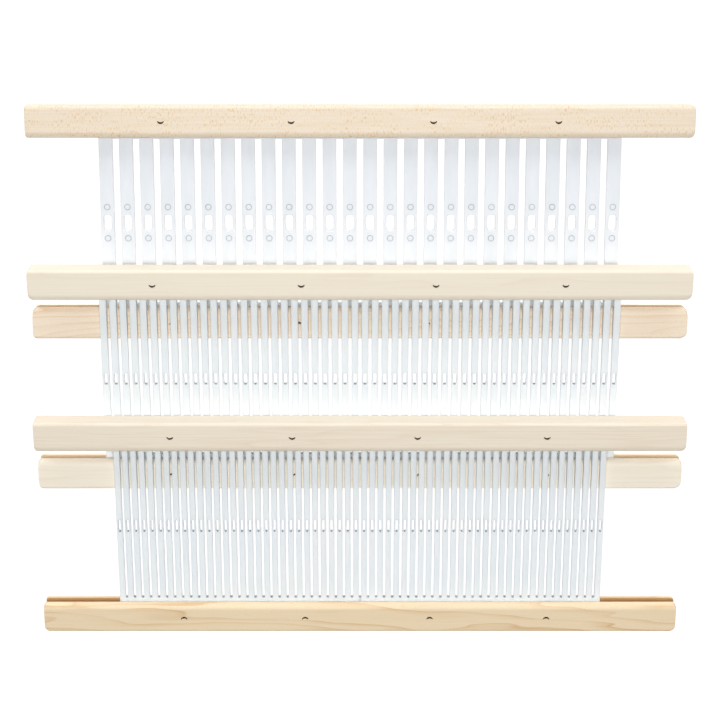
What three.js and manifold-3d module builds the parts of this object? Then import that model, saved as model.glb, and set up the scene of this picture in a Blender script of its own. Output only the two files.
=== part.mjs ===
// A set of three rigid-heddle loom reeds, lying shingled on a table.
//
// Each reed is two grooved wooden rails, a plastic comb moulded in two halves that meet at the
// middle, and four brads through each rail that pin the comb in its grooves. The five-dent reed
// lies flat. The ten-dent comb leans on its bottom rail, and the twelve-dent comb leans on the
// ten-dent bottom rail, so all three bottom rails are on the table.
//
// Frame: X along the rails, Y from the lowest reed's bottom rail towards the five-dent top rail,
// Z up. The origin is under the middle of the set, at table height. Units are millimetres.

import * as THREE from 'three';
import { mergeVertices } from 'three/addons/utils/BufferGeometryUtils.js';
import Module from 'manifold-3d';

const wasm = await Module();
wasm.setup();

// Rails
const INCH = 25.4;
const RAIL_LENGTH = 332;
const RAIL_HEIGHT = 16;
const RAIL_THICKNESS = 12.7;
const OUTER_EDGE_RADIUS = 1.6;
const INNER_EDGE_RADIUS = 3.2;
const END_CORNER_RADIUS = 2.5;
const GROOVE_WIDTH = 5;
const GROOVE_DEPTH = 10;

// Combs
const REED_HEIGHT = 117.5;
const BLADE_THICKNESS = 3;
const LOW_CROSSBAR_REVEAL = 1.7;
const HIGH_CROSSBAR_REVEAL = 0.7;
const TONGUE_RECESS = 0.6;

// Brads: each is as long as its rail allows, with some wood left behind its point.
const BRAD_BACK_WOOD = 1.4;
const BRAD_SHANK_RADIUS = 0.6;
const BRAD_HEAD_RADIUS = 0.85;
const BRAD_HEAD_HEIGHT = 0.8;
const BRAD_POINT_LENGTH = 1.4;
const BRAD_SET_DEPTH = 0.3;
const BRAD_FROM_LIP = 7.6;
const BRAD_LENGTH = RAIL_THICKNESS - BRAD_SET_DEPTH - BRAD_BACK_WOOD;

// The gap between pieces that touch, and the step along Y from one bottom rail to the next.
const FIT_GAP = 0.3;
const REED_STEP = 78.5;

// Facets: steps in each quarter turn, and sides of a round brad or drill.
const EDGE_STEPS = 4;
const ROUND_SIDES = 8;

// The brads were driven by hand, so each rail has its own places along X.
const REEDS = [
  {
    name: 'five_dent',
    dentsPerInch: 5,
    bladesPerHalf: 13,
    slotWidth: 3.3,
    eye: { width: 3.8, height: 8.1, corner: 1.7, steps: 2 },
    topBrads: [-98.7, -34.1, 36.4, 98.3],
    bottomBrads: [-95, -31, 34, 99],
    woodColor: 0xecddc9,
  },
  {
    name: 'ten_dent',
    dentsPerInch: 10,
    bladesPerHalf: 26,
    slotWidth: 1.6,
    eye: { width: 1.6, height: 5.9, corner: 0.5, steps: 1 },
    topBrads: [-103.6, -29.3, 37.9, 102.6],
    bottomBrads: [-97, -33, 31, 96],
    woodColor: 0xefe4d3,
  },
  {
    name: 'twelve_dent',
    dentsPerInch: 12,
    bladesPerHalf: 30,
    slotWidth: 1.22,
    eye: { width: 1.2, height: 6.6, corner: 0.4, steps: 1 },
    topBrads: [-96.6, -34.5, 29.3, 95.1],
    bottomBrads: [-92.5, -28.8, 36.6, 97.9],
    woodColor: 0xe9dac4,
  },
];

// ---- Materials ----

function woodMaterial(color) {
  return new THREE.MeshStandardMaterial({ color, roughness: 0.55, metalness: 0 });
}

function plasticMaterial() {
  return new THREE.MeshStandardMaterial({ color: 0xf2f5f8, roughness: 0.4, metalness: 0 });
}

function steelMaterial() {
  return new THREE.MeshStandardMaterial({ color: 0x6f6a66, roughness: 0.4, metalness: 0.9 });
}

// ---- Solids ----

function solidFrom(geometry) {
  const bare = geometry.clone();
  bare.deleteAttribute('normal');
  bare.deleteAttribute('uv');
  const merged = mergeVertices(bare);
  const vertProperties = new Float32Array(merged.attributes.position.array);
  const triVerts = new Uint32Array(merged.index.array);
  return new wasm.Manifold(new wasm.Mesh({ numProp: 3, vertProperties, triVerts }));
}

function geometryFrom(solid) {
  const mesh = solid.getMesh();
  const geometry = new THREE.BufferGeometry();
  geometry.setAttribute('position', new THREE.BufferAttribute(mesh.vertProperties, 3));
  geometry.setIndex(new THREE.BufferAttribute(mesh.triVerts, 1));
  geometry.computeVertexNormals();
  return geometry;
}

function addArc(points, centerX, centerY, radius, startAngle, steps) {
  for (let step = 0; step <= steps; step += 1) {
    const angle = startAngle + (step / steps) * (Math.PI / 2);
    points.push(new THREE.Vector2(
      centerX + radius * Math.cos(angle),
      centerY + radius * Math.sin(angle),
    ));
  }
}

// A rectangle from (left, low) to (right, high), with one radius for each pair of corners:
// the pair on its high side and the pair on its low side.
function roundedPoints(left, low, right, high, lowRadius, highRadius, steps) {
  const points = [];
  addArc(points, left + lowRadius, low + lowRadius, lowRadius, Math.PI, steps);
  addArc(points, right - lowRadius, low + lowRadius, lowRadius, 1.5 * Math.PI, steps);
  addArc(points, right - highRadius, high - highRadius, highRadius, 0, steps);
  addArc(points, left + highRadius, high - highRadius, highRadius, 0.5 * Math.PI, steps);
  return points;
}

function extrude(shape, depth) {
  return new THREE.ExtrudeGeometry(shape, { depth, bevelEnabled: false });
}

// A plain bar from corner (x, y, z) to the opposite corner.
function barSolid(low, high) {
  const size = high.clone().sub(low);
  const bar = new THREE.BoxGeometry(size.x, size.y, size.z);
  bar.translate(low.x + size.x / 2, low.y + size.y / 2, low.z + size.z / 2);
  return solidFrom(bar);
}

// A round hole along Z, from zLow to zHigh, wide enough to clear a round piece by the fit gap.
function drillSolid(pieceRadius, x, y, zLow, zHigh) {
  const radius = pieceRadius + FIT_GAP;
  const drill = new THREE.CylinderGeometry(radius, radius, zHigh - zLow, ROUND_SIDES);
  drill.rotateX(Math.PI / 2);
  drill.translate(x, y, (zLow + zHigh) / 2);
  return solidFrom(drill);
}

// ---- Rail ----
// A rail's own frame: X along it and centred, Y from its outer edge to the edge with the groove,
// Z from its back face to its front face.

const CUT_MARGIN = 2;

function railBody() {
  // The section is drawn with the rail's thickness across and its height up.
  const section = new THREE.Shape(roundedPoints(
    0, 0, RAIL_THICKNESS, RAIL_HEIGHT, OUTER_EDGE_RADIUS, INNER_EDGE_RADIUS, EDGE_STEPS,
  ));
  const bar = extrude(section, RAIL_LENGTH);
  bar.rotateY(-Math.PI / 2);
  bar.translate(RAIL_LENGTH / 2, 0, 0);

  const front = new THREE.Shape(roundedPoints(
    -RAIL_LENGTH / 2, 0, RAIL_LENGTH / 2, RAIL_HEIGHT,
    END_CORNER_RADIUS, END_CORNER_RADIUS, EDGE_STEPS,
  ));
  const outline = extrude(front, RAIL_THICKNESS + 2 * CUT_MARGIN);
  outline.translate(0, 0, -CUT_MARGIN);
  return solidFrom(bar).intersect(solidFrom(outline));
}

function railGroove() {
  const halfLength = RAIL_LENGTH / 2 + CUT_MARGIN;
  return barSolid(
    new THREE.Vector3(-halfLength, RAIL_HEIGHT - GROOVE_DEPTH, (RAIL_THICKNESS - GROOVE_WIDTH) / 2),
    new THREE.Vector3(halfLength, RAIL_HEIGHT + CUT_MARGIN, (RAIL_THICKNESS + GROOVE_WIDTH) / 2),
  );
}

function railGeometry(bradPlaces) {
  const headTop = RAIL_THICKNESS - BRAD_SET_DEPTH;
  const bradY = RAIL_HEIGHT - BRAD_FROM_LIP;
  const seatZ = headTop - BRAD_HEAD_HEIGHT - FIT_GAP;
  const pointZ = headTop - BRAD_LENGTH - FIT_GAP;
  let rail = railBody().subtract(railGroove());
  for (const x of bradPlaces) {
    const drillTop = RAIL_THICKNESS + CUT_MARGIN;
    rail = rail.subtract(drillSolid(BRAD_HEAD_RADIUS, x, bradY, seatZ, drillTop));
    rail = rail.subtract(drillSolid(BRAD_SHANK_RADIUS, x, bradY, pointZ, drillTop));
  }
  return geometryFrom(rail);
}

// ---- Comb ----
// One half of a comb, from the joint at x = 0 out to its last blade. side is 1 or -1. Its
// frame is the reed's: Y up from the bottom rail's outer edge, with Z centred in its thickness.

const TONGUE_THICKNESS = GROOVE_WIDTH - 2 * FIT_GAP;
const COMB_LOW = RAIL_HEIGHT - GROOVE_DEPTH + FIT_GAP;
const COMB_HIGH = REED_HEIGHT - COMB_LOW;
const SLOT_LOW = RAIL_HEIGHT + LOW_CROSSBAR_REVEAL;
const SLOT_HIGH = REED_HEIGHT - RAIL_HEIGHT - HIGH_CROSSBAR_REVEAL;

// From one blade to the next. A slot and an eye each carry a thread, so each counts as a dent.
function combPitch(reed) {
  return (2 * INCH) / reed.dentsPerInch;
}

// A bar as wide as one half of the comb, between heights low and high.
function combBar(reed, side, low, high, thickness) {
  const joint = FIT_GAP / 2;
  const end = reed.bladesPerHalf * combPitch(reed) - reed.slotWidth / 2;
  return barSolid(
    new THREE.Vector3(side > 0 ? joint : -end, low, -thickness / 2),
    new THREE.Vector3(side > 0 ? end : -joint, high, thickness / 2),
  );
}

function slotSolid(reed, x) {
  const depth = BLADE_THICKNESS / 2 + CUT_MARGIN;
  return barSolid(
    new THREE.Vector3(x - reed.slotWidth / 2, SLOT_LOW, -depth),
    new THREE.Vector3(x + reed.slotWidth / 2, SLOT_HIGH, depth),
  );
}

function eyeSolid(eye, x) {
  const middle = REED_HEIGHT / 2;
  const outline = new THREE.Shape(roundedPoints(
    x - eye.width / 2, middle - eye.height / 2, x + eye.width / 2, middle + eye.height / 2,
    eye.corner, eye.corner, eye.steps,
  ));
  const depth = BLADE_THICKNESS + 2 * CUT_MARGIN;
  const plug = extrude(outline, depth);
  plug.translate(0, 0, -depth / 2);
  return solidFrom(plug);
}

// The slot at x = 0 is shared: each half of the comb gives half of it.
function combPlate(reed, side) {
  const pitch = combPitch(reed);
  let plate = combBar(reed, side, COMB_LOW, COMB_HIGH, BLADE_THICKNESS);
  for (let blade = 0; blade < reed.bladesPerHalf; blade += 1) {
    plate = plate.subtract(slotSolid(reed, side * blade * pitch));
    plate = plate.subtract(eyeSolid(reed.eye, side * (blade + 0.5) * pitch));
  }
  return plate;
}

function combGeometry(reed, side) {
  const tongueTop = RAIL_HEIGHT - TONGUE_RECESS;
  let comb = combPlate(reed, side)
    .add(combBar(reed, side, COMB_LOW, tongueTop, TONGUE_THICKNESS))
    .add(combBar(reed, side, REED_HEIGHT - tongueTop, COMB_HIGH, TONGUE_THICKNESS));

  const bradY = RAIL_HEIGHT - BRAD_FROM_LIP;
  const rows = [[reed.bottomBrads, bradY], [reed.topBrads, REED_HEIGHT - bradY]];
  for (const [places, y] of rows) {
    for (const x of places.filter((place) => place * side > 0)) {
      const depth = TONGUE_THICKNESS / 2 + CUT_MARGIN;
      comb = comb.subtract(drillSolid(BRAD_SHANK_RADIUS, x, y, -depth, depth));
    }
  }
  return geometryFrom(comb);
}

// ---- Brad ----
// Point down along -Y from the head's top at the origin, as the lathe turns it.

function bradGeometry() {
  const profile = [
    [0, -BRAD_LENGTH],
    [BRAD_SHANK_RADIUS, -BRAD_LENGTH + BRAD_POINT_LENGTH],
    [BRAD_SHANK_RADIUS, -BRAD_HEAD_HEIGHT],
    [BRAD_HEAD_RADIUS, -BRAD_HEAD_HEIGHT],
    [BRAD_HEAD_RADIUS, 0],
    [0, 0],
  ];
  return new THREE.LatheGeometry(profile.map(([x, y]) => new THREE.Vector2(x, y)), ROUND_SIDES);
}

// ---- Assembly ----

function named(name, geometry, material) {
  const mesh = new THREE.Mesh(geometry, material);
  mesh.name = name;
  return mesh;
}

function brads(reed, railName, places, y) {
  return places.map((x, index) => {
    const name = `${reed.name}_${railName}_brad_${index + 1}`;
    const brad = named(name, bradGeometry(), steelMaterial());
    brad.rotation.x = Math.PI / 2;
    brad.position.set(x, y, RAIL_THICKNESS - BRAD_SET_DEPTH);
    return brad;
  });
}

// A reed in its own frame: Y from the bottom rail's outer edge, Z from its back face.
function reedGroup(reed) {
  const group = new THREE.Group();
  const bradY = RAIL_HEIGHT - BRAD_FROM_LIP;
  const wood = woodMaterial(reed.woodColor);
  const plastic = plasticMaterial();

  group.add(named(`${reed.name}_bottom_rail`, railGeometry(reed.bottomBrads), wood));

  // The top rail is a rail turned half round, so its brads are drilled from the other end.
  const flipped = reed.topBrads.map((x) => -x);
  const topRail = named(`${reed.name}_top_rail`, railGeometry(flipped), wood);
  topRail.rotation.z = Math.PI;
  topRail.position.y = REED_HEIGHT;
  group.add(topRail);

  for (const [sideName, side] of [['left', -1], ['right', 1]]) {
    const comb = named(`${reed.name}_${sideName}_comb`, combGeometry(reed, side), plastic);
    comb.position.z = RAIL_THICKNESS / 2;
    group.add(comb);
  }
  group.add(...brads(reed, 'bottom', reed.bottomBrads, bradY));
  group.add(...brads(reed, 'top', reed.topBrads, REED_HEIGHT - bradY));
  return group;
}

// A place is the tilt of a reed and the center, in Y and Z, of the rounded back edge that its
// bottom rail stands on. The first reed lies flat, with that edge on the table.
function flatPlace() {
  return { tilt: 0, edgeY: OUTER_EDGE_RADIUS, edgeZ: OUTER_EDGE_RADIUS };
}

// The next reed leans until the back of its comb meets the rounded front edge of the bottom
// rail below it, a fit gap away.
function leaningPlace(below) {
  const edgeSpan = RAIL_THICKNESS - 2 * OUTER_EDGE_RADIUS;
  const edgeY = below.edgeY - REED_STEP;
  const edgeZ = OUTER_EDGE_RADIUS;
  const acrossY = below.edgeY - edgeSpan * Math.sin(below.tilt) - edgeY;
  const acrossZ = below.edgeZ + edgeSpan * Math.cos(below.tilt) - edgeZ;
  const combBack = (RAIL_THICKNESS - BLADE_THICKNESS) / 2 - OUTER_EDGE_RADIUS;
  const clearance = combBack - OUTER_EDGE_RADIUS - FIT_GAP;
  const span = Math.hypot(acrossY, acrossZ);
  const tilt = Math.acos(clearance / span) - Math.atan2(acrossY, acrossZ);
  return { tilt, edgeY, edgeZ };
}

// The reed's own corner, where its outer edge would meet its back face if they weren't rounded.
function cornerOf(place) {
  const { tilt, edgeY, edgeZ } = place;
  return {
    y: edgeY - OUTER_EDGE_RADIUS * (Math.cos(tilt) - Math.sin(tilt)),
    z: edgeZ - OUTER_EDGE_RADIUS * (Math.sin(tilt) + Math.cos(tilt)),
  };
}

// The set's lowest Y: the rounded front edge of the last bottom rail.
function lowestY(place) {
  const edgeSpan = RAIL_THICKNESS - 2 * OUTER_EDGE_RADIUS;
  return place.edgeY - edgeSpan * Math.sin(place.tilt) - OUTER_EDGE_RADIUS;
}

function reedSet() {
  const set = new THREE.Group();
  let place = flatPlace();
  for (const [index, reed] of REEDS.entries()) {
    if (index > 0) {
      place = leaningPlace(place);
    }
    const corner = cornerOf(place);
    const reedMeshes = reedGroup(reed);
    reedMeshes.rotation.x = place.tilt;
    reedMeshes.position.set(0, corner.y, corner.z);
    set.add(reedMeshes);
  }
  const centerY = (REED_HEIGHT + lowestY(place)) / 2;
  for (const reedMeshes of set.children) {
    reedMeshes.position.y -= centerY;
  }
  return set;
}

const group = reedSet();
export default group;
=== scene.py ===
"""Looks for a set of three rigid heddle reeds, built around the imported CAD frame.

Every reed has its own axes, read from its CAD nodes: X along its rails, Y from the bottom
rail's outer edge to the top rail's, Z from its back to its front. Pieces are modelled in
millimetres on those axes and placed by one matrix.
"""

import math

import bmesh
import bpy
from mathutils import Matrix, Vector
from mathutils.geometry import delaunay_2d_cdt


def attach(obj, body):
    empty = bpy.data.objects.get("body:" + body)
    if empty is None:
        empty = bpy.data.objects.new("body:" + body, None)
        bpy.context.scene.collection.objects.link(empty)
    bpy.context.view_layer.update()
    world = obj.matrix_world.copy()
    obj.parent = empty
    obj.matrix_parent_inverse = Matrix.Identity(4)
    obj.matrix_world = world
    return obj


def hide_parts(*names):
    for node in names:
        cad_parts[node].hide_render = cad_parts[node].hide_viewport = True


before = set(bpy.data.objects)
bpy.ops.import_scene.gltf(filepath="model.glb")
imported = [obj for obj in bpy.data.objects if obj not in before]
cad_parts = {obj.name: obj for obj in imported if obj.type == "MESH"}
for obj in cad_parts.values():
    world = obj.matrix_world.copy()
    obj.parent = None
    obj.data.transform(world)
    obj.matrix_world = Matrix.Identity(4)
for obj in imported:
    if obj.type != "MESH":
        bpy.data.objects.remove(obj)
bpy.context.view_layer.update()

MM = 0.001
MERGE_DISTANCE = 1e-4

DIAGONAL = math.sqrt(0.5)

# Rail shape, millimetres. SUPPORT is the strip of flat beside each round that keeps smooth
# shading off the rest of the flat.
REED_HEIGHT = 117.5
RAIL_HEIGHT = 16.0
RAIL_THICKNESS = 12.7
OUTER_EDGE_RADIUS = 1.6
INNER_EDGE_RADIUS = 3.2
END_EASE = 0.3
LIP_EASE = 0.4
GROOVE_WIDTH = 5.0
GROOVE_DEPTH = 10.0
GROOVE_FLOOR = RAIL_HEIGHT - GROOVE_DEPTH
SUPPORT = 0.12
ARC_STEPS = 8
EASE_STEPS = 6
CORNER_STEPS = 12
RAIL_SHARP_ANGLE = 35

# Comb shape, millimetres
BLADE_THICKNESS = 3.0
LOW_CROSSBAR_REVEAL = 1.7
HIGH_CROSSBAR_REVEAL = 0.7
TONGUE_RECESS = 0.6
TONGUE_EDGE = 0.15
BLADE_EDGE = 0.18
JOINT_GAP = 0.08
SLOT_CORNER = 0.2
SLOT_CORNER_STEPS = 2
EYE_STEPS = 8
COMB_SHARP_ANGLE = 15

# The wide blades' moulded marks, millimetres
RIM_INNER = 0.32
RIM_OUTER = 0.85
RIM_HEIGHT = 0.07
PIN_MARK_OFFSET = 7.9
PIN_MARK_RADIUS = 1.62
PIN_MARK_LINE = 0.42
PIN_MARK_DEPTH = 0.25
PIN_MARK_STEPS = 32
PIN_CUTTER_HEIGHT = 1.0
MARK_EDGE = 0.05

# Brad shape, millimetres
BRADS_PER_RAIL = 4
BRAD_ARC_RADIUS = 1.75
BRAD_ARC_SPREAD = math.radians(62)
BRAD_HALF_WIDTH = 0.44
BRAD_TIP_WIDTH = 0.1
BRAD_HEAD_HEIGHT = 0.6
BRAD_HEAD_EDGE = 0.06
BRAD_SHANK_RADIUS = 0.6
BRAD_POINT_SHARE = 0.25
BRAD_OVERLAP = 0.2
BRAD_CLEARANCE = 0.09
BRAD_SINK = 0.3
BRAD_SHARP_ANGLE = 35
CRESCENT_STEPS = 12
SHANK_STEPS = 16

# Places in a comb's list of materials: plain plastic, painted shade on the ends of slots and eyes,
# painted shade in the ejector pins' rings
PLAIN, END_SHADE, RING_SHADE = 0, 1, 2

# Each reed: its body, its blades in a comb half, its slots' width, and its eyes' width, height
# and corner radius in millimetres.
REEDS = {
    "five_dent": {"body": "root", "blades": 13, "slot": 3.3, "eye": (3.8, 8.1, 1.75)},
    "ten_dent": {"body": "ten_dent_reed", "blades": 26, "slot": 1.6, "eye": (1.6, 5.9, 0.6)},
    "twelve_dent": {"body": "twelve_dent_reed", "blades": 30, "slot": 1.22, "eye": (1.2, 6.6, 0.45)},
}

# Radii of each rail's sanded corners on the rail's own axes: left outer, left grooved, right
# outer, right grooved. A top rail is turned half round, so its left is the reed's right.
END_CORNERS = {
    "five_dent_top_rail": (1.5, 2.2, 0.6, 0.9),
    "five_dent_bottom_rail": (1.8, 2.8, 3.4, 3.0),
    "ten_dent_top_rail": (1.5, 2.9, 1.5, 2.4),
    "ten_dent_bottom_rail": (2.0, 2.0, 3.6, 2.9),
    "twelve_dent_top_rail": (1.5, 2.4, 0.6, 1.7),
    "twelve_dent_bottom_rail": (2.7, 1.5, 2.9, 2.0),
}


# ---------------------------------------------------------------- reed axes

def reed_matrix(name):
    """The reed's axes in the shared frame: Z from the comb's flat face, corner from the bottom rail."""
    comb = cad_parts[f"{name}_right_comb"].data
    facing = [p for p in comb.polygons if p.normal.z > 0.9]
    out = max(facing, key=lambda p: p.area).normal.normalized()
    along = Vector((1, 0, 0))
    up = out.cross(along)
    points = [v.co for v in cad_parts[f"{name}_bottom_rail"].data.vertices]
    corner = up * min(p.dot(up) for p in points) + out * min(p.dot(out) for p in points)
    matrix = Matrix((along, up, out)).transposed().to_4x4()
    matrix.translation = corner
    return matrix


def local_box(node, matrix):
    """A CAD node's lowest and highest corners on its reed's axes, in millimetres."""
    to_local = matrix.inverted()
    points = [to_local @ v.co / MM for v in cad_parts[node].data.vertices]
    low = Vector([min(p[axis] for p in points) for axis in range(3)])
    high = Vector([max(p[axis] for p in points) for axis in range(3)])
    return low, high


# ---------------------------------------------------------------- mesh helpers

def mesh_object(name, mesh, matrix):
    """A piece whose mesh is in millimetres on the reed's axes."""
    mesh.transform(Matrix.Scale(MM, 4))
    piece = bpy.data.objects.new(name, mesh)
    bpy.context.scene.collection.objects.link(piece)
    piece.matrix_world = matrix
    return piece


def mesh_from(name, points, faces):
    mesh = bpy.data.meshes.new(name)
    mesh.from_pydata([tuple(p) for p in points], [], faces)
    return cleaned(mesh)


def cleaned(mesh):
    """Joins vertices that meet and turns every face out."""
    work = bmesh.new()
    work.from_mesh(mesh)
    bmesh.ops.remove_doubles(work, verts=work.verts, dist=MERGE_DISTANCE)
    bmesh.ops.recalc_face_normals(work, faces=work.faces)
    work.to_mesh(mesh)
    work.free()
    return mesh


def boolean(mesh, tool, operation):
    """mesh joined with or cut by tool; both are in millimetres."""
    body = bpy.data.objects.new("boolean_body", mesh)
    other = bpy.data.objects.new("boolean_tool", tool)
    for item in (body, other):
        bpy.context.scene.collection.objects.link(item)
    modifier = body.modifiers.new("cut", "BOOLEAN")
    modifier.operation = operation
    modifier.solver = "EXACT"
    modifier.object = other
    graph = bpy.context.evaluated_depsgraph_get()
    result = bpy.data.meshes.new_from_object(body.evaluated_get(graph))
    for item in (body, other):
        bpy.data.objects.remove(item)
    bpy.data.meshes.remove(tool)
    return result


def shade(mesh, degrees):
    """Smooth shading that stays sharp over edges turned more than this."""
    mesh.polygons.foreach_set("use_smooth", [True] * len(mesh.polygons))
    mesh.set_sharp_from_angle(angle=math.radians(degrees))


def corner_arc(center_x, center_y, radius, start, steps):
    """Points round a quarter turn, starting at this angle in quarter turns."""
    angles = [(start + step / steps) * math.pi / 2 for step in range(steps + 1)]
    return [(center_x + radius * math.cos(a), center_y + radius * math.sin(a)) for a in angles]


def rounded_outline(left, low, right, high, radius, steps):
    return (
        corner_arc(left + radius, low + radius, radius, 2, steps)
        + corner_arc(right - radius, low + radius, radius, 3, steps)
        + corner_arc(right - radius, high - radius, radius, 0, steps)
        + corner_arc(left + radius, high - radius, radius, 1, steps)
    )


def circle_outline(center_x, center_y, radius, steps):
    turns = [2 * math.pi * step / steps for step in range(steps)]
    return [(center_x + radius * math.cos(t), center_y + radius * math.sin(t)) for t in turns]


def turned_left(outline, hole):
    """The outline in the order that keeps the material on its left."""
    ends = outline[1:] + outline[:1]
    area = sum(ax * by - bx * ay for (ax, ay), (bx, by) in zip(outline, ends))
    return outline[::-1] if (area > 0) == hole else outline


def inset(outline, distance):
    """The outline moved this far into the material, on its left."""
    moved = []
    for before, here, after in zip(outline[-1:] + outline[:-1], outline, outline[1:] + outline[:1]):
        here = Vector(here)
        arriving = (here - Vector(before)).orthogonal().normalized()
        leaving = (Vector(after) - here).orthogonal().normalized()
        moved.append(here + (arriving + leaving) * distance / (1 + arriving.dot(leaving)))
    return moved


def plate(rims, holes, thickness, edge):
    """A closed plate, centred on Z, with rounded edges."""
    outlines = [turned_left(rim, False) for rim in rims]
    outlines += [turned_left(hole, True) for hole in holes]
    half, chord = thickness / 2, edge * (1 - DIAGONAL)
    rows = [(edge, -half), (chord, chord - half), (0, edge - half)]
    rows += [(distance, -z) for distance, z in reversed(rows)]
    points, loops = [], []
    for distance, z in rows:
        for outline in outlines:
            if distance == edge and z > 0:
                loops.append(range(len(points), len(points) + len(outline)))
            points += [(x, y, z) for x, y in inset(outline, distance)]
    count = len(points) // len(rows)

    faces = []
    for row in range(len(rows) - 1):
        shift = (row + 1 - len(rows)) * count
        for loop in loops:
            for here, after in zip(loop, [*loop[1:], loop[0]]):
                lower, higher = here + shift, after + shift
                faces.append((lower, higher, higher + count, lower + count))

    flat = [Vector(point[:2]) for point in points[-count:]]
    first = len(points) - count
    sides = [[index - first for index in loop] for loop in loops]
    sides[len(rims):] = [side[::-1] for side in sides[len(rims):]]
    found = delaunay_2d_cdt(flat, [], sides, 1, 1e-5)
    for triangle, within in zip(found[2], found[5]):
        if len(within) % 2 == 1:
            corners = [found[3][index][0] for index in triangle]
            faces.append(tuple(corner + first for corner in corners))
            faces.append(tuple(reversed(corners)))
    return mesh_from("plate", points, faces)


# ---------------------------------------------------------------- rails

def rail_section(height, thickness):
    """Round the rail's section: (y, z, outward y, outward z), with y up from the outer edge."""
    lip = (thickness - GROOVE_WIDTH) / 2
    floor = height - GROOVE_DEPTH
    section = []

    def arc(center_y, center_z, radius, start):
        """start is in quarter turns from +Z towards +Y; a flat's support point is at each end."""
        for step in range(ARC_STEPS + 1):
            angle = (start + step / ARC_STEPS) * math.pi / 2
            ny, nz = math.sin(angle), math.cos(angle)
            point = (center_y + radius * ny, center_z + radius * nz, ny, nz)
            if step == 0:
                section.append((point[0] - SUPPORT * nz, point[1] + SUPPORT * ny, ny, nz))
            section.append(point)
            if step == ARC_STEPS:
                section.append((point[0] + SUPPORT * nz, point[1] - SUPPORT * ny, ny, nz))

    outer, inner = OUTER_EDGE_RADIUS, INNER_EDGE_RADIUS
    arc(outer, outer, outer, 2)
    arc(outer, thickness - outer, outer, 3)
    arc(height - inner, thickness - inner, inner, 0)
    arc(height - LIP_EASE, thickness - lip + LIP_EASE, LIP_EASE, 1)
    section.append((floor, thickness - lip, DIAGONAL, -DIAGONAL))
    section.append((floor, lip, DIAGONAL, DIAGONAL))
    arc(height - LIP_EASE, lip - LIP_EASE, LIP_EASE, 0)
    arc(height - inner, inner, inner, 1)
    return section


def quarter_drop(radius, distance):
    """How far a rounded corner of this radius stands back, this far from its end."""
    if distance >= radius:
        return 0.0
    return radius - math.sqrt(radius ** 2 - (radius - distance) ** 2)


def rail_stations(length, widest):
    """(x, distance from the nearer end) along the rail, close together round its end corners."""
    def rounded(radius, steps):
        return [radius * (1 - math.cos(k * math.pi / 2 / steps)) for k in range(steps + 1)]

    ease = rounded(END_EASE, EASE_STEPS)[:-1]
    corner = rounded(widest, CORNER_STEPS)
    near = ease + [step for step in corner if step > END_EASE] + [widest + END_EASE]
    left = [(step - length / 2, step) for step in near]
    right = [(length / 2 - step, step) for step in reversed(near)]
    return left + right


def rail_body(length, height, thickness, corners):
    """corners are the radii sanded on the left end's outer and grooved corners, then the right's."""
    section = rail_section(height, thickness)
    points = []
    stations = rail_stations(length, max(corners))
    for x, distance in stations:
        outer, inner = corners[:2] if x < 0 else corners[2:]
        ease = quarter_drop(END_EASE, distance)
        outer_drop = quarter_drop(outer, distance)
        inner_drop = quarter_drop(inner, distance)
        for y, z, ny, nz in section:
            shift = outer_drop if y < height / 2 else -inner_drop
            if y == height - GROOVE_DEPTH:
                shift = 0
            points.append((x, y + shift - ease * ny, z - ease * nz))
    count = len(section)
    faces = []
    for station in range(len(stations) - 1):
        for k in range(count):
            a = station * count + k
            b = station * count + (k + 1) % count
            faces.append((a, b, b + count, a + count))
    faces.append(tuple(reversed(range(count))))
    faces.append(tuple(range((len(stations) - 1) * count, len(stations) * count)))
    return mesh_from("rail", points, faces)


def crescent(grow):
    """A brad head's outline, bulging towards +Y, larger by grow all round."""
    outer, inner = [], []
    spread = BRAD_ARC_SPREAD + grow / BRAD_ARC_RADIUS
    for step in range(CRESCENT_STEPS + 1):
        share = 2 * step / CRESCENT_STEPS - 1
        angle = math.pi / 2 - share * spread
        taper = math.cos(share * math.pi / 2)
        half = BRAD_TIP_WIDTH + (BRAD_HALF_WIDTH - BRAD_TIP_WIDTH) * taper + grow
        direction = (math.cos(angle), math.sin(angle))
        outer.append([c * (BRAD_ARC_RADIUS + half) for c in direction])
        inner.append([c * (BRAD_ARC_RADIUS - half) for c in direction])
    return [(x, y - BRAD_ARC_RADIUS) for x, y in outer + inner[::-1]]


def prism(outline, low, high):
    """A closed prism on this outline, along Z."""
    count = len(outline)
    points = [(x, y, low) for x, y in outline] + [(x, y, high) for x, y in outline]
    faces = [(k, (k + 1) % count, (k + 1) % count + count, k + count) for k in range(count)]
    faces += [tuple(reversed(range(count))), tuple(range(count, 2 * count))]
    return mesh_from("prism", points, faces)


def pocket(thickness, brad_low):
    """What a brad takes out of a rail: its head's pocket and its shank's hole."""
    head_low = thickness - BRAD_SINK - BRAD_HEAD_HEIGHT - BRAD_CLEARANCE
    head = prism(crescent(BRAD_CLEARANCE), head_low, thickness + 1)
    hole = circle_outline(0, 0, BRAD_SHANK_RADIUS + BRAD_CLEARANCE, SHANK_STEPS)
    shaft = prism(hole, brad_low - BRAD_CLEARANCE, head_low + BRAD_OVERLAP)
    return boolean(head, shaft, "UNION")


def joined(meshes):
    """Several meshes as one, without changing them."""
    work = bmesh.new()
    for mesh in meshes:
        work.from_mesh(mesh)
    whole = bpy.data.meshes.new("joined")
    work.to_mesh(whole)
    work.free()
    return whole


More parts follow.
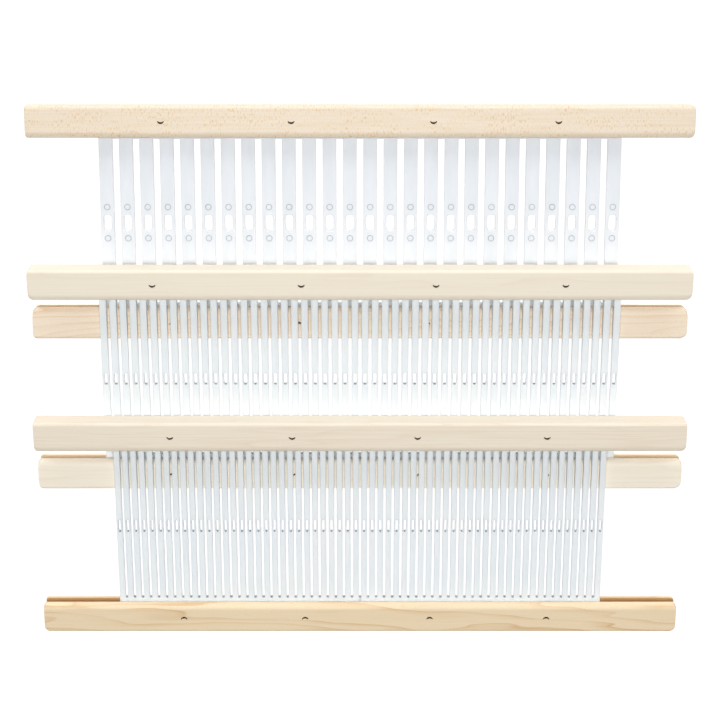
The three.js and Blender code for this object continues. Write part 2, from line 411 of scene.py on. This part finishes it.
def make_rail(reed_name, end, matrix):
    """A rail, turned half round at the top of the reed."""
    node = f"{reed_name}_{end}_rail"
    low, high = local_box(node, matrix)
    length, height, thickness = high - low
    mesh = rail_body(length, height, thickness, END_CORNERS[node])

    turned = end == "top"
    cutters = []
    for index in range(1, BRADS_PER_RAIL + 1):
        brad_low, brad_high = local_box(f"{reed_name}_{end}_brad_{index}", matrix)
        middle = (brad_low + brad_high) / 2
        cutter = pocket(thickness, brad_low.z)
        x = -middle.x if turned else middle.x
        y = high.y - middle.y if turned else middle.y - low.y
        cutter.transform(Matrix.Translation((x, y, 0)))
        cutters.append(cutter)
    mesh = boolean(mesh, joined(cutters), "DIFFERENCE")
    shade(mesh, RAIL_SHARP_ANGLE)
    if turned:
        mesh.transform(Matrix.Rotation(math.pi, 4, "Z"))
        mesh.transform(Matrix.Translation((0, high.y, 0)))
    rail = mesh_object(f"{node}_wood", mesh, matrix)
    rail.data.materials.append(wood_material(node, WOODS[node]))
    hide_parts(node)
    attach(rail, REEDS[reed_name]["body"])


# ---------------------------------------------------------------- brads

def brad_mesh(low, high):
    """Head at the top, bulging towards +Y, and a shank down to its chisel point."""
    head_low = high - BRAD_HEAD_HEIGHT
    head = plate([crescent(0)], [], BRAD_HEAD_HEIGHT, BRAD_HEAD_EDGE)
    head.transform(Matrix.Translation((0, 0, high - BRAD_HEAD_HEIGHT / 2)))
    ring = circle_outline(0, 0, BRAD_SHANK_RADIUS, SHANK_STEPS)
    shank = prism(ring, low, head_low + BRAD_OVERLAP)
    work = bmesh.new()
    work.from_mesh(shank)
    for vertex in work.verts:
        if vertex.co.z < low + 1e-3:
            vertex.co.y *= BRAD_POINT_SHARE
    work.to_mesh(shank)
    work.free()
    mesh = boolean(head, shank, "UNION")
    shade(mesh, BRAD_SHARP_ANGLE)
    return mesh


def make_brads(reed_name, end, matrix):
    for index in range(1, BRADS_PER_RAIL + 1):
        node = f"{reed_name}_{end}_brad_{index}"
        low, high = local_box(node, matrix)
        middle = (low + high) / 2
        mesh = brad_mesh(low.z, high.z)
        if end == "top":
            mesh.transform(Matrix.Rotation(math.pi, 4, "Z"))
        mesh.transform(Matrix.Translation((middle.x, middle.y, 0)))
        brad = mesh_object(f"{node}_steel", mesh, matrix)
        brad.data.materials.append(STEEL)
        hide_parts(node)
        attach(brad, REEDS[reed_name]["body"])


# ---------------------------------------------------------------- combs

def blade_pitch(reed, low, high, side):
    reach = high.x if side > 0 else -low.x
    return (reach + reed["slot"] / 2) / reed["blades"]


def blade_middles(reed, pitch, side):
    return [side * (blade + 0.5) * pitch for blade in range(reed["blades"])]


def eye_outline(reed, x, y, grow):
    width, height, radius = reed["eye"]
    return rounded_outline(
        x - width / 2 - grow, y - height / 2 - grow, x + width / 2 + grow, y + height / 2 + grow,
        radius + grow, EYE_STEPS)


def comb_outlines(reed, low, high, rail_height, reed_height, side):
    """The comb half's rim, with half a slot at the joint, then its slots and eyes."""
    pitch = blade_pitch(reed, low, high, side)
    half = reed["slot"] / 2
    joint = JOINT_GAP / 2
    end = pitch * reed["blades"] - half
    slot_low = rail_height + LOW_CROSSBAR_REVEAL
    slot_high = reed_height - rail_height - HIGH_CROSSBAR_REVEAL
    rim = [
        (joint, low.y), (end, low.y), (end, high.y), (joint, high.y),
        (joint, slot_high), (half, slot_high), (half, slot_low), (joint, slot_low),
    ]
    holes = []
    for blade in range(1, reed["blades"]):
        x = side * blade * pitch
        holes.append(rounded_outline(
            x - half, slot_low, x + half, slot_high, SLOT_CORNER, SLOT_CORNER_STEPS))
    for x in blade_middles(reed, pitch, side):
        holes.append(eye_outline(reed, x, reed_height / 2, 0))
    return [(side * x, y) for x, y in rim], holes


def tongue(low, high, y_low, y_high, thickness):
    rim = [(low.x, y_low), (high.x, y_low), (high.x, y_high), (low.x, y_high)]
    return plate([rim], [], thickness, TONGUE_EDGE)


def make_comb(reed_name, side_name, matrix):
    reed = REEDS[reed_name]
    side = -1 if side_name == "left" else 1
    node = f"{reed_name}_{side_name}_comb"
    low, high = local_box(node, matrix)
    rail_height = local_box(f"{reed_name}_bottom_rail", matrix)[1].y
    reed_height = local_box(f"{reed_name}_top_rail", matrix)[1].y
    rim, holes = comb_outlines(reed, low, high, rail_height, reed_height, side)
    mesh = plate([rim], holes, BLADE_THICKNESS, BLADE_EDGE)

    thickness = high.z - low.z
    lip = rail_height - TONGUE_RECESS
    mesh = boolean(mesh, tongue(low, high, low.y, lip, thickness), "UNION")
    mesh = boolean(mesh, tongue(low, high, reed_height - lip, high.y, thickness), "UNION")
    if reed_name == "five_dent":
        mesh = moulded_marks(mesh, reed, low, high, reed_height, side)
    mesh = boolean(mesh, joined(shank_holes(reed_name, side, matrix)), "DIFFERENCE")
    shade(mesh, COMB_SHARP_ANGLE)
    mark_shaded_faces(mesh, reed_name, rail_height, reed_height)
    mesh.transform(Matrix.Translation((0, 0, (low.z + high.z) / 2)))
    comb = mesh_object(f"{node}_plastic", mesh, matrix)
    plastic = WIDE_PLASTIC if reed_name == "five_dent" else FINE_PLASTIC
    for material in (plastic, SLOT_END_SHADE, PIN_RING_SHADE):
        comb.data.materials.append(material)
    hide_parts(node)
    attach(comb, reed["body"])


def shank_holes(reed_name, side, matrix):
    """The holes that the brads made through this half's tongues."""
    drills = []
    for end in ("bottom", "top"):
        for index in range(1, BRADS_PER_RAIL + 1):
            brad_low, brad_high = local_box(f"{reed_name}_{end}_brad_{index}", matrix)
            middle = (brad_low + brad_high) / 2
            if middle.x * side > 0:
                radius = BRAD_SHANK_RADIUS + BRAD_CLEARANCE
                ring = circle_outline(middle.x, middle.y, radius, SHANK_STEPS)
                drills.append(prism(ring, -BLADE_THICKNESS, BLADE_THICKNESS))
    return drills


def mark_shaded_faces(mesh, reed_name, rail_height, reed_height):
    """Paints shade on the ends of the fine combs' slots and eyes, and on the floors of the ejector
    pins' rings.
    """
    fine = reed_name != "five_dent"
    below_front = BLADE_THICKNESS / 2 - 0.1
    for face in mesh.polygons:
        face.material_index = PLAIN
        if not rail_height < face.center.y < reed_height - rail_height:
            continue
        # painted shade: the end walls of slots and eyes in the fine combs, deep in narrow slots
        if abs(face.normal.y) > 0.8 and fine:
            face.material_index = END_SHADE
        # painted shade: the floors of the ejector pins' ring grooves
        elif face.normal.z > 0.9 and 0.5 < face.center.z < below_front:
            face.material_index = RING_SHADE


def moulded_marks(mesh, reed, low, high, reed_height, side):
    """The wide blades' raised rim round each eye, and the ring that each ejector pin left."""
    pitch = blade_pitch(reed, low, high, side)
    middle = reed_height / 2
    rims, rim_holes, rings, ring_holes = [], [], [], []
    for x in blade_middles(reed, pitch, side):
        rims.append(eye_outline(reed, x, middle, RIM_OUTER))
        rim_holes.append(eye_outline(reed, x, middle, RIM_INNER))
        for y in (middle - PIN_MARK_OFFSET, middle + PIN_MARK_OFFSET):
            rings.append(circle_outline(x, y, PIN_MARK_RADIUS, PIN_MARK_STEPS))
            inner = PIN_MARK_RADIUS - PIN_MARK_LINE
            ring_holes.append(circle_outline(x, y, inner, PIN_MARK_STEPS))
    raised = plate(rims, rim_holes, BLADE_THICKNESS + 2 * RIM_HEIGHT, MARK_EDGE)
    mesh = boolean(mesh, raised, "UNION")
    cutter = plate(rings, ring_holes, PIN_CUTTER_HEIGHT, MARK_EDGE)
    cutter_middle = (BLADE_THICKNESS + PIN_CUTTER_HEIGHT) / 2 - PIN_MARK_DEPTH
    cutter.transform(Matrix.Translation((0, 0, cutter_middle)))
    return boolean(mesh, cutter, "DIFFERENCE")


# ---------------------------------------------------------------- materials

class Nodes:
    """A short way to write a material's nodes."""

    def __init__(self, name):
        self.material = bpy.data.materials.new(name)
        self.material.use_nodes = True
        self.tree = self.material.node_tree
        self.shader = self.tree.nodes["Principled BSDF"]

    def add(self, kind, inputs=None, **settings):
        node = self.tree.nodes.new(kind)
        for key, value in settings.items():
            setattr(node, key, value)
        for key, value in (inputs or {}).items():
            self.feed(node.inputs[key], value)
        return node

    def feed(self, socket, value):
        if hasattr(value, "node"):
            self.tree.links.new(value, socket)
        else:
            socket.default_value = value

    def mix(self, share, first, second):
        node = self.add("ShaderNodeMix", data_type="RGBA", blend_type="MIX")
        self.feed(node.inputs[0], share)
        self.feed(node.inputs[6], first)
        self.feed(node.inputs[7], second)
        return node.outputs[2]

    def ramp(self, value, stops):
        """A ramp of grey levels: stops are (place, level)."""
        node = self.add("ShaderNodeValToRGB", {"Fac": value})
        ramp = node.color_ramp
        ramp.elements[0].position, first = stops[0]
        ramp.elements[0].color = (first, first, first, 1)
        ramp.elements[1].position, last = stops[-1]
        ramp.elements[1].color = (last, last, last, 1)
        for place, level in stops[1:-1]:
            ramp.elements.new(place).color = (level, level, level, 1)
        return node.outputs["Color"]

    def scaled(self, source, scale, shift=(0, 0, 0)):
        """The vector scaled along each axis, then moved."""
        node = self.add("ShaderNodeMapping", {"Vector": source})
        node.inputs["Scale"].default_value = scale
        node.inputs["Location"].default_value = shift
        return node.outputs["Vector"]

    def noise(self, vector, detail=2.0, roughness=0.5):
        """Noise whose features are about one unit of the vector across."""
        node = self.add("ShaderNodeTexNoise", {
            "Vector": vector, "Scale": 1.0, "Detail": detail, "Roughness": roughness})
        return node.outputs["Fac"]

    def axis(self, vector, name):
        return self.add("ShaderNodeSeparateXYZ", {"Vector": vector}).outputs[name]

    def math(self, operation, first, second=0.0):
        node = self.add("ShaderNodeMath", operation=operation)
        self.feed(node.inputs[0], first)
        self.feed(node.inputs[1], second)
        return node.outputs[0]


def linear(red, green, blue):
    """An sRGB colour, 0 to 255, as the linear colour that a shader takes."""
    def channel(value):
        value /= 255
        return value / 12.92 if value <= 0.04045 else ((value + 0.055) / 1.055) ** 2.4
    return (channel(red), channel(green), channel(blue), 1)


# Each rail: its colour, its latewood colour, how strong its rings, streaks and flecks are, how
# far its rings climb along the rail, their spacing, and where its own stretch of wood starts.
WOODS = {
    "five_dent_top_rail": ((237, 223, 203), (216, 180, 134), 0.15, 0.6, 1.2, 0.01, 9, 11),
    # Painted light: this bottom rail is paler to offset the shadow that the ten-dent top rail casts on
    # it.
    "five_dent_bottom_rail": ((250, 233, 211), (224, 188, 144), 0.6, 0.4, 0.35, -0.09, 5, 23),
    "ten_dent_top_rail": ((242, 232, 214), (226, 206, 176), 0.25, 0.5, 0.1, 0.015, 7, 37),
    # Painted light: this bottom rail is paler to offset the shadow that the twelve-dent top rail casts
    # on it.
    "ten_dent_bottom_rail": ((255, 246, 229), (240, 216, 182), 0.35, 0.5, 0.1, 0.02, 6, 41),
    "twelve_dent_top_rail": ((240, 229, 211), (219, 196, 164), 0.35, 0.9, 0.1, 0.01, 5, 59),
    "twelve_dent_bottom_rail": ((241, 221, 187), (212, 168, 114), 0.8, 0.35, 0.2, 0.062, 6.5, 67),
}

# How far the rings wander across a rail, in millimetres, and how dark they are over one spacing,
# from pale early wood to the dark line of late wood.
RING_SWAY = 26.0
RING_DARKNESS = [(0.0, 0.12), (0.06, 0.0), (0.5, 0.06), (0.86, 0.55), (0.95, 1.0), (1.0, 0.12)]


def wood_color(nodes, place, fibre, settings):
    """Pale wood with growth rings, streaks along the fibre, and ray flecks in patches."""
    pale, dark, rings, streaks, flecks, climb, spacing, start = settings
    sway = nodes.noise(nodes.scaled(place, (0.011, 0.09, 0.09), (start, start, 0)))
    climbed = nodes.math("MULTIPLY", nodes.axis(place, "X"), climb)
    height = nodes.math("ADD", nodes.axis(place, "Y"), nodes.axis(place, "Z"))
    height = nodes.math("ADD", height, climbed)
    height = nodes.math("ADD", height, nodes.math("MULTIPLY", sway, RING_SWAY))
    ring = nodes.math("FRACT", nodes.math("DIVIDE", height, spacing))
    ring = nodes.ramp(ring, RING_DARKNESS)
    fade = nodes.noise(nodes.scaled(place, (0.02, 0.12, 0.12), (0, start, start)))
    ring = nodes.math("MULTIPLY", ring, nodes.ramp(fade, [(0.3, 0.15), (0.65, 1.0)]))
    color = nodes.mix(nodes.math("MULTIPLY", ring, rings), linear(*pale), linear(*dark))

    middle = [0.45 * a + 0.55 * b for a, b in zip(pale, dark)]
    lines = nodes.math("MULTIPLY", nodes.ramp(fibre, [(0.45, 0.0), (0.72, 1.0)]), streaks * 0.6)
    color = nodes.mix(lines, color, linear(*middle))

    speck = nodes.noise(nodes.scaled(place, (1.6, 0.55, 0.55), (start, 0, 0)), 2.0, 0.6)
    speck = nodes.ramp(speck, [(0.53, 0.0), (0.68, 1.0)])
    patch = nodes.noise(nodes.scaled(place, (0.06, 0.14, 0.14), (start, 3, 0)))
    speck = nodes.math("MULTIPLY", speck, nodes.ramp(patch, [(0.38, 0.2), (0.6, 1.0)]))
    fleck_color = linear(dark[0] + 5, dark[1] + 2, dark[2] - 14)
    return nodes.mix(nodes.math("MULTIPLY", speck, flecks * 0.75), color, fleck_color)


def end_grain(nodes, place, color, dark):
    """Sawn ends are darker, and mottled by open pores."""
    normal = nodes.add("ShaderNodeNewGeometry").outputs["Normal"]
    turned = nodes.math("ABSOLUTE", nodes.axis(normal, "X"))
    pores = nodes.noise(nodes.scaled(place, (0.2, 3, 3)), 3.0)
    pores = nodes.ramp(pores, [(0.4, 0.0), (0.7, 1.0)])
    sawn = nodes.mix(pores, linear(*dark), linear(*[0.86 * level for level in dark]))
    return nodes.mix(nodes.ramp(turned, [(0.6, 0.0), (0.92, 0.8)]), color, sawn)


def groove_shade(nodes, place, color, dark, turned):
    """Painted shade: the groove's walls and floor are mixed towards the dark wood colour."""
    height = nodes.axis(place, "Y")
    from_middle = nodes.math("SUBTRACT", nodes.axis(place, "Z"), RAIL_THICKNESS / 2)
    away = nodes.math("ABSOLUTE", from_middle)
    between = nodes.math("LESS_THAN", away, GROOVE_WIDTH / 2 + 0.05)
    if turned:
        deep = nodes.math("LESS_THAN", height, REED_HEIGHT - GROOVE_FLOOR + 0.1)
    else:
        deep = nodes.math("GREATER_THAN", height, GROOVE_FLOOR - 0.1)
    inside = nodes.math("MULTIPLY", between, deep)
    return nodes.mix(nodes.math("MULTIPLY", inside, 0.85), color, linear(*dark))


def contact_shadow(nodes, place, color, dark):
    """Painted contact shadow: the edge that a bottom rail stands on is darkened."""
    height = nodes.math("MULTIPLY", nodes.axis(place, "Y"), 0.5)
    shadow_share = nodes.ramp(height, [(0.0, 0.75), (0.12, 0.55), (0.4, 0.0)])
    return nodes.mix(shadow_share, color, linear(*[0.72 * level for level in dark]))


def wood_material(name, settings):
    nodes = Nodes(f"wood_{name}")
    dark, start = settings[1], settings[-1]
    object_place = nodes.add("ShaderNodeTexCoord").outputs["Object"]
    place = nodes.scaled(object_place, (1 / MM, 1 / MM, 1 / MM))
    fibre = nodes.noise(nodes.scaled(place, (0.025, 2.0, 2.0), (start, 0, 0)), 3.0, 0.6)
    color = wood_color(nodes, place, fibre, settings)
    # Painted shade inside the groove
    color = groove_shade(nodes, place, color, dark, "top" in name)
    # Painted contact shadow along a bottom rail's lower edge
    if "bottom" in name:
        color = contact_shadow(nodes, place, color, dark)
    color = end_grain(nodes, place, color, dark)
    nodes.feed(nodes.shader.inputs["Base Color"], color)
    roughness = nodes.math("ADD", nodes.math("MULTIPLY", fibre, 0.2), 0.42)
    nodes.feed(nodes.shader.inputs["Roughness"], roughness)
    nodes.shader.inputs["Specular IOR Level"].default_value = 0.3
    bump = nodes.add("ShaderNodeBump", {"Height": fibre, "Strength": 0.25, "Distance": 0.00006})
    nodes.feed(nodes.shader.inputs["Normal"], bump.outputs["Normal"])
    return nodes.material


def plastic_material(name, pale, dark, milkiness):
    """Moulded plastic, clouded between two colours. milkiness is how much light enters it."""
    nodes = Nodes(name)
    place = nodes.add("ShaderNodeTexCoord").outputs["Object"]
    cloud = nodes.noise(nodes.scaled(place, (180, 40, 180)))
    share = nodes.ramp(cloud, [(0.35, 0.0), (0.7, 1.0)])
    nodes.feed(nodes.shader.inputs["Base Color"], nodes.mix(share, linear(*pale), linear(*dark)))
    fine = nodes.noise(nodes.scaled(place, (2500, 1200, 2500)))
    roughness = nodes.math("ADD", nodes.math("MULTIPLY", fine, 0.12), 0.5)
    nodes.feed(nodes.shader.inputs["Roughness"], roughness)
    nodes.shader.inputs["Specular IOR Level"].default_value = 0.2
    nodes.shader.inputs["Subsurface Weight"].default_value = milkiness
    nodes.shader.inputs["Subsurface Radius"].default_value = (1, 1, 1)
    nodes.shader.inputs["Subsurface Scale"].default_value = 0.003
    bump = nodes.add("ShaderNodeBump", {"Height": fine, "Strength": 0.12, "Distance": 0.00004})
    nodes.feed(nodes.shader.inputs["Normal"], bump.outputs["Normal"])
    return nodes.material


def steel_material():
    """Brad wire, darkened by its lacquer, with scuffed bright spots."""
    nodes = Nodes("brad_steel")
    place = nodes.add("ShaderNodeTexCoord").outputs["Object"]
    scuff = nodes.noise(nodes.scaled(place, (3000, 3000, 3000)), 3.0)
    share = nodes.ramp(scuff, [(0.5, 0.0), (0.75, 1.0)])
    base = nodes.mix(share, linear(52, 34, 20), linear(104, 80, 54))
    nodes.feed(nodes.shader.inputs["Base Color"], base)
    nodes.shader.inputs["Metallic"].default_value = 0.4
    roughness = nodes.math("ADD", nodes.math("MULTIPLY", scuff, 0.3), 0.4)
    nodes.feed(nodes.shader.inputs["Roughness"], roughness)
    return nodes.material


def floor_material():
    """White by its own glow, and so grey in itself that shadows on it hardly show."""
    nodes = Nodes("floor_white")
    place = nodes.add("ShaderNodeTexCoord").outputs["Object"]
    soft = nodes.noise(nodes.scaled(place, (2, 2, 2)))
    base = nodes.mix(soft, linear(96, 96, 96), linear(102, 102, 102))
    nodes.feed(nodes.shader.inputs["Base Color"], base)
    nodes.shader.inputs["Roughness"].default_value = 0.9
    nodes.shader.inputs["Emission Color"].default_value = (1, 1, 1, 1)
    nodes.shader.inputs["Emission Strength"].default_value = FLOOR_GLOW
    return nodes.material


# ---------------------------------------------------------------- studio

# Metres and watts
VIEW_TILT = math.radians(12.76)
VIEW_DISTANCE = 0.9296
VIEW_LENS = 90
AIM = Vector((0, 0.0064, 0))
FLOOR_GLOW = 0.97
FLOOR_SIZE = 40.0
AMBIENT = 0.22
KEY_LIGHT = {"place": (0, 1.6, 0.45), "size": (2.4, 0.5), "power": 18}
OVERHEAD_LIGHT = {"place": (0, 0.1, 1.5), "size": (0.6, 0.6), "power": 15}


def make_floor():
    half = FLOOR_SIZE / 2
    corners = [(-half, -half, 0), (half, -half, 0), (half, half, 0), (-half, half, 0)]
    mesh = bpy.data.meshes.new("floor")
    mesh.from_pydata(corners, [], [(0, 1, 2, 3)])
    floor = bpy.data.objects.new("floor", mesh)
    bpy.context.scene.collection.objects.link(floor)
    floor.data.materials.append(floor_material())


def make_camera():
    """Above the reeds, leaning towards their top rails."""
    data = bpy.data.cameras.new("camera")
    data.lens = VIEW_LENS
    camera = bpy.data.objects.new("camera", data)
    bpy.context.scene.collection.objects.link(camera)
    back = Vector((0, math.sin(VIEW_TILT), math.cos(VIEW_TILT)))
    camera.location = AIM + back * VIEW_DISTANCE
    camera.rotation_euler = (-VIEW_TILT, 0, 0)
    bpy.context.scene.camera = camera


def area_light(name, place, size, power):
    """A soft light that faces the middle of the set."""
    data = bpy.data.lights.new(name, "AREA")
    data.shape = "RECTANGLE"
    data.size, data.size_y = size
    data.energy = power
    light = bpy.data.objects.new(name, data)
    bpy.context.scene.collection.objects.link(light)
    light.location = place
    light.rotation_euler = (-Vector(place)).to_track_quat("-Z", "Y").to_euler()


def make_lights():
    area_light("key", **KEY_LIGHT)
    area_light("overhead", **OVERHEAD_LIGHT)
    world = bpy.data.worlds.new("studio")
    world.use_nodes = True
    background = world.node_tree.nodes["Background"]
    background.inputs["Color"].default_value = (1, 1, 1, 1)
    background.inputs["Strength"].default_value = AMBIENT
    bpy.context.scene.world = world


def make_look():
    bpy.context.scene.view_settings.view_transform = "Standard"
    bpy.context.scene.view_settings.look = "None"


# ---------------------------------------------------------------- the set

WIDE_PLASTIC = plastic_material("comb_plastic_wide", (232, 235, 239), (227, 231, 235), 0.6)
FINE_PLASTIC = plastic_material("comb_plastic_fine", (242, 248, 252), (236, 243, 248), 0.6)
# Painted shade: dark grey on the fine combs' slot and eye end walls, where the narrow slots are in
# shade.
SLOT_END_SHADE = plastic_material("comb_slot_end_shade", (182, 187, 195), (160, 166, 176), 0.0)
# Painted shade: grey on the floors of the ejector pins' shallow ring grooves, where shade falls.
PIN_RING_SHADE = plastic_material("comb_pin_ring_shade", (196, 200, 206), (182, 187, 194), 0.2)
STEEL = steel_material()

for reed_name in REEDS:
    axes = reed_matrix(reed_name)
    for rail_end in ("bottom", "top"):
        make_rail(reed_name, rail_end, axes)
        make_brads(reed_name, rail_end, axes)
    for comb_side in ("left", "right"):
        make_comb(reed_name, comb_side, axes)

make_floor()
make_camera()
make_lights()
make_look()
